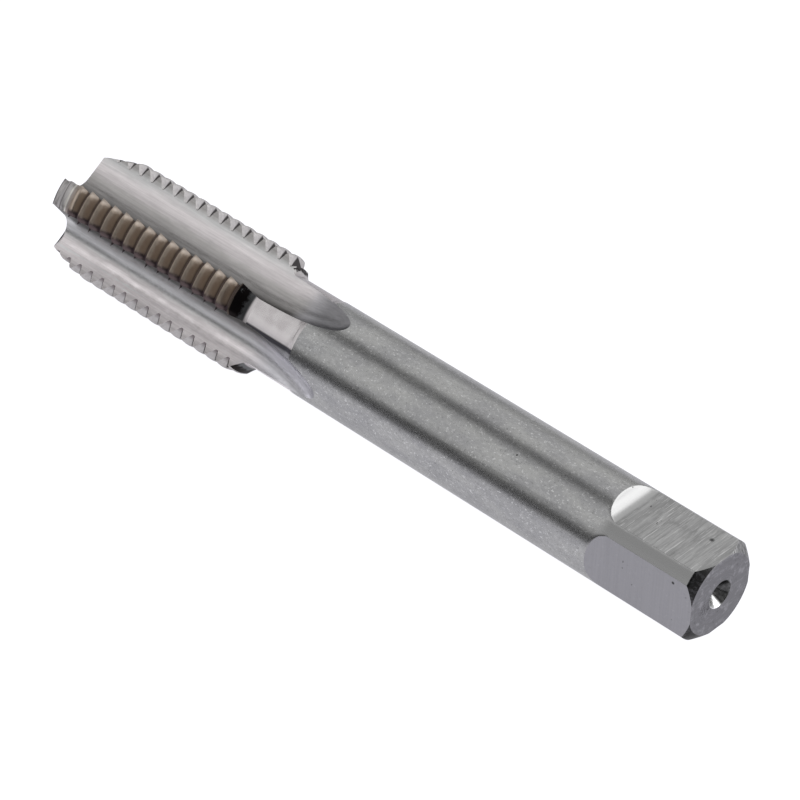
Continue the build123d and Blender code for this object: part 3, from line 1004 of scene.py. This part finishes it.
def mat_flat():
    m, k = steel("milled_flat")
    # cutter marks run across the axis
    lines = k.noise(k.stretch(k.pos, (3.6, 0.12, 0.12), (0, 0, 0.05)), 1.0, 4.0, 0.66, 0.3)
    fine = k.noise(k.stretch(k.pos, (11.0, 0.7, 0.7), (0, 0, 0.05)), 1.0, 3.0, 0.6)
    spots = k.noise(k.pos, 2.2, 4.0, 0.65)
    patch = k.noise(k.stretch(k.pos, (0.55, 0.35, 0.35)), 1.0, 3.0, 0.6)
    side = k.ramp(k.math("SUBTRACT", k.math("ABSOLUTE", k.y), k.math("ABSOLUTE", k.z)), -0.2, 0.2)
    top = k.mixc(k.ramp(lines, 0.32, 0.68), grey(0.255), grey(0.37))
    top = k.mixc(k.math("MULTIPLY", k.ramp(patch, 0.55, 0.72), 0.45), top, grey(0.44))
    top = k.mixc(k.math("MULTIPLY", k.ramp(patch, 0.46, 0.30), 0.50), top, grey(0.18))
    # broad passes of the cutter, and single deep scratches
    passes = k.noise(k.stretch(k.pos, (1.5, 0.10, 0.10), (0, 0, 0.06)), 1.0, 2.0, 0.5, 0.2)
    top = k.mixc(k.math("MULTIPLY", k.ramp(passes, 0.50, 0.36), 0.45), top, grey(0.19))
    scratch = k.noise(k.stretch(k.pos, (7.0, 0.30, 0.30), (0, 0, 0.09)), 1.0, 1.0, 0.5, 0.1)
    top = k.mixc(k.math("MULTIPLY", k.ramp(scratch, 0.645, 0.71), 0.45), top, grey(0.70))
    top = k.mixc(k.math("MULTIPLY", k.ramp(fine, 0.56, 0.72), 0.5), top, grey(0.58))
    top = k.mixc(k.math("MULTIPLY", k.ramp(fine, 0.42, 0.30), 0.35), top, grey(0.16))
    front = k.mixc(k.ramp(lines, 0.30, 0.70), grey(0.262, COOL), grey(0.285, COOL))
    front = k.mixc(k.math("MULTIPLY", k.ramp(spots, 0.56, 0.72), 0.3), front, grey(0.38, COOL))
    front = k.mixc(k.math("MULTIPLY", k.ramp(spots, 0.42, 0.30), 0.3), front, grey(0.19, COOL))
    # the cutter's run-out on top is even and bright
    top = k.mixc(k.ramp(k.x, -12.25, -12.55), top, grey(0.36))
    col = k.mixc(side, top, front)
    dots = k.noise(k.pos, 1.15, 2.0, 0.5)
    col = k.mixc(k.math("MULTIPLY", k.ramp(dots, 0.275, 0.235), 0.85), col, grey(0.05))
    # two small pits
    col = k.mixc(near(k, (-3.04, 1.63, 5.0), 0.42, 0.10), col, grey(0.07))
    col = k.mixc(near(k, (-2.83, -5.0, 2.99), 0.26, 0.10), col, grey(0.04))
    rough = k.ramp(lines, 0.3, 0.7, 0.27, 0.36, smooth=False)
    h = k.math("ADD", lines, k.math("MULTIPLY", fine, 0.35))
    h = k.math("MULTIPLY", h, k.math("SUBTRACT", 1.0, k.math("MULTIPLY", side, 0.75)))
    h = k.math("MULTIPLY", h, k.ramp(k.x, -12.5, -12.2))
    finish_steel(k, col, rough, h, 0.20, 0.00003)
    return m


def mat_chamfer():
    m, k = steel("end_chamfer")
    n1 = k.noise(cyl_coords(k, 2.5, 2.0), 1.2, 4.0, 0.65)
    # painted dark reflection: the chamfer is painted near black
    col = k.mixc(k.ramp(n1, 0.45, 0.65), grey(0.030), grey(0.075, COOL))
    # rubbed bright on the far side of the top, with scratches
    rub = k.math("MULTIPLY", k.ramp(k.th, 18.0, 6.0), k.ramp(k.th, -150.0, -130.0))
    nicks = k.noise(cyl_coords(k, 1.2, 6.0), 1.2, 3.0, 0.6)
    bright = k.mixc(k.ramp(nicks, 0.45, 0.60), grey(0.17), grey(0.34))
    col = k.mixc(k.math("MULTIPLY", rub, k.ramp(n1, 0.30, 0.42)), col, bright)
    finish_steel(k, col, 0.30, n1, 0.2, 0.00003)
    return m


def mat_face():
    m, k = steel("faced_end")
    # turning marks are circles round the centre
    rings = k.put("ShaderNodeTexNoise", noise_dimensions="1D")
    k.l.new(k.math("MULTIPLY", k.r, 6.0), rings.inputs["W"])
    rings.inputs["Scale"].default_value = 1.0
    rings.inputs["Detail"].default_value = 3.0
    spots = k.noise(k.pos, 1.0, 5.0, 0.68)
    lines = k.noise(k.stretch(k.pos, (0.3, 0.5, 3.0), (0.5, 0, 0)), 1.0, 3.0, 0.6)
    col = k.mixc(k.ramp(rings.outputs[0], 0.35, 0.65), grey(0.172, COOL), grey(0.192, COOL))
    col = k.mixc(k.math("MULTIPLY", k.ramp(lines, 0.50, 0.66), 0.4), col, grey(0.28, COOL))
    col = k.mixc(k.math("MULTIPLY", k.ramp(spots, 0.52, 0.64), 0.6), col, grey(0.33, COOL))
    col = k.mixc(k.math("MULTIPLY", k.ramp(spots, 0.42, 0.32), 0.6), col, grey(0.09, COOL))
    # pitted beside the centre hole
    pits = k.noise(k.pos, 4.5, 2.0, 0.6)
    pitted = k.math("MULTIPLY", near(k, (0.0, -2.3, -0.6), 1.7, 0.4), k.ramp(pits, 0.50, 0.40))
    col = k.mixc(k.math("MULTIPLY", pitted, 0.8), col, grey(0.05, COOL))
    h = k.math("ADD", k.math("MULTIPLY", rings.outputs[0], 0.6), k.math("MULTIPLY", spots, 0.8))
    finish_steel(k, col, k.ramp(spots, 0.3, 0.7, 0.30, 0.42, smooth=False), h, 0.18, 0.00003)
    return m


def mat_hole():
    m, k = steel("centre_hole")
    n1 = k.noise(k.pos, 3.0, 3.0, 0.6)
    # the upper part is painted dark as shade inside the hole, the lower part painted bright as a highlight
    lower = k.math("MULTIPLY", k.ramp(k.z, 0.10, -0.50), k.ramp(k.y, 0.50, 0.0))
    col = k.mixc(lower, k.mixc(k.ramp(n1, 0.35, 0.65), grey(0.060), grey(0.115)),
                 k.mixc(k.ramp(n1, 0.35, 0.65), grey(0.70), grey(0.90)))
    finish_steel(k, col, 0.26, n1, 0.15, 0.00003)
    return m


made = {"thread": mat_thread(), "flute": mat_flute(), "neck": mat_neck(), "shank": mat_shank(), "flat": mat_flat(),
        "chamfer": mat_chamfer(), "face": mat_face(), "hole": mat_hole()}
made["lead"] = made["thread"]
made["back"] = mat_back()
for nme in MAT:
    mesh.materials.append(made[nme])
burr_mesh.materials.append(mat_burr())

# ------------------------------------------------------------------ camera
# focal length in pixels of an 800 px frame, and its place in the tool frame
CAM_F = 3610.0
CAM_POS = np.array([172.3739, -243.5083, 262.3409])
CAM_RIGHT = np.array([0.7248923, 0.68825237, 0.02897991])
CAM_DOWN = np.array([0.44654016, -0.43744644, -0.78053988])
CAM_FWD = np.array([-0.52453126, 0.57874804, -0.62443387])


def turn(d):
    return np.array([d[0] * CA + d[2] * SA, d[1], -d[0] * SA + d[2] * CA])


cam_data = bpy.data.cameras.new("camera")
cam = bpy.data.objects.new("camera", cam_data)
bpy.context.scene.collection.objects.link(cam)
cam_data.sensor_width = 36.0
cam_data.lens = CAM_F / 800.0 * 36.0
cam_data.clip_start, cam_data.clip_end = 0.01, 20.0
r_, u_, b_ = turn(CAM_RIGHT), -turn(CAM_DOWN), -turn(CAM_FWD)
loc = place(CAM_POS)
cam.matrix_world = Matrix(((r_[0], u_[0], b_[0], loc[0]), (r_[1], u_[1], b_[1], loc[1]),
                           (r_[2], u_[2], b_[2], loc[2]), (0, 0, 0, 1)))
bpy.context.scene.camera = cam

# ------------------------------------------------------------------ floor
fm = bpy.data.meshes.new("floor")
S = 1.5
fm.from_pydata([(-S, -S, 0), (S, -S, 0), (S, S, 0), (-S, S, 0)], [], [(0, 1, 2, 3)])
floor = bpy.data.objects.new("floor", fm)
bpy.context.scene.collection.objects.link(floor)
m = bpy.data.materials.new("floor")
m.use_nodes = True
b = m.node_tree.nodes["Principled BSDF"]
b.inputs["Base Color"].default_value = (0.08, 0.08, 0.08, 1)
b.inputs["Roughness"].default_value = 0.9
b.inputs["Specular IOR Level"].default_value = 0.0
b.inputs["Emission Color"].default_value = (0.96, 0.955, 1.0, 1)
b.inputs["Emission Strength"].default_value = 1.035
fm.materials.append(m)

# dark card just beside the set; the camera doesn't see it, the metal mirrors it
cm = bpy.data.meshes.new("card")
cm.from_pydata([(-0.5, -0.9, 0.0006), (0.5, -0.9, 0.0006), (0.5, -0.052, 0.0006), (-0.5, -0.052, 0.0006)], [], [(0, 1, 2, 3)])
card = bpy.data.objects.new("card", cm)
bpy.context.scene.collection.objects.link(card)
m = bpy.data.materials.new("card")
m.use_nodes = True
b = m.node_tree.nodes["Principled BSDF"]
b.inputs["Base Color"].default_value = (0.02, 0.02, 0.02, 1)
b.inputs["Roughness"].default_value = 0.9
b.inputs["Specular IOR Level"].default_value = 0.0
cm.materials.append(m)
card.visible_camera = False
card.visible_shadow = False
card.visible_diffuse = False

# ------------------------------------------------------------------ studio
w = bpy.data.worlds.new("studio")
bpy.context.scene.world = w
w.use_nodes = True
k = Nodes(w.node_tree)
bg = w.node_tree.nodes["Background"]
tc = k.put("ShaderNodeTexCoord")
sep = k.put("ShaderNodeSeparateXYZ")
k.l.new(tc.outputs["Generated"], sep.inputs[0])
dx, dy, dz = sep.outputs


def toward(v, a, b):
    """1 near the direction v, 0 away from it: a and b are the cosines where it starts and is full."""
    v = Vector(v).normalized()
    d = k.put("ShaderNodeVectorMath", operation="DOT_PRODUCT")
    k.l.new(tc.outputs["Generated"], d.inputs[0])
    d.inputs[1].default_value = v
    return k.ramp(d.outputs["Value"], a, b)


def scaled(level, mask, factor):
    """level, times factor where the mask is 1."""
    return k.math("MULTIPLY", level, k.math("ADD", 1.0, k.math("MULTIPLY", mask, factor - 1.0)))


# dark side of the room, low towards -Y
low = k.ramp(dz, 0.36, 0.16)
level = scaled(1.0, k.math("MULTIPLY", low, k.ramp(dy, -0.25, -0.6)), 0.05)
# gap between the overhead lights, along X
gap = k.math("MULTIPLY", k.ramp(k.math("ABSOLUTE", k.math("SUBTRACT", dy, 0.015)), 0.28, 0.05), k.ramp(dz, 0.3, 0.6))
level = scaled(level, gap, 0.16)
# dim far side, low towards +Y
back = k.math("MULTIPLY", k.ramp(dz, 0.50, 0.12), k.ramp(dy, 0.3, 0.6))
level = scaled(level, back, 0.55)
# camera side
level = scaled(level, toward((0.86, -0.44, 0.38), 0.86, 0.97), 0.05)
# bright light over the far right
level = k.math("ADD", level, k.math("MULTIPLY", toward((0.55, 0.62, 0.50), 0.80, 0.90), 1.7))
path = k.put("ShaderNodeLightPath")
seen = path.outputs["Is Camera Ray"]
final = k.math("ADD", k.math("MULTIPLY", level, k.math("SUBTRACT", 1.0, seen)), seen)
bg.inputs[0].default_value = (1, 1, 1, 1)
k.l.new(final, bg.inputs[1])

# a soft key that shapes the floor and the lands; it is broad, so its shadow is faint
key_data = bpy.data.lights.new("key", "AREA")
key_data.shape = "RECTANGLE"
key_data.size, key_data.size_y = 0.9, 0.9
key_data.energy = 4.0
key = bpy.data.objects.new("key", key_data)
bpy.context.scene.collection.objects.link(key)
key.location = (-0.25, 0.15, 1.1)
key.rotation_mode = "QUATERNION"
key.rotation_quaternion = (Vector((0, 0, 0)) - key.location).to_track_quat("-Z", "Y")
key.visible_glossy = False
key.visible_camera = False

bpy.context.scene.view_settings.view_transform = "Standard"
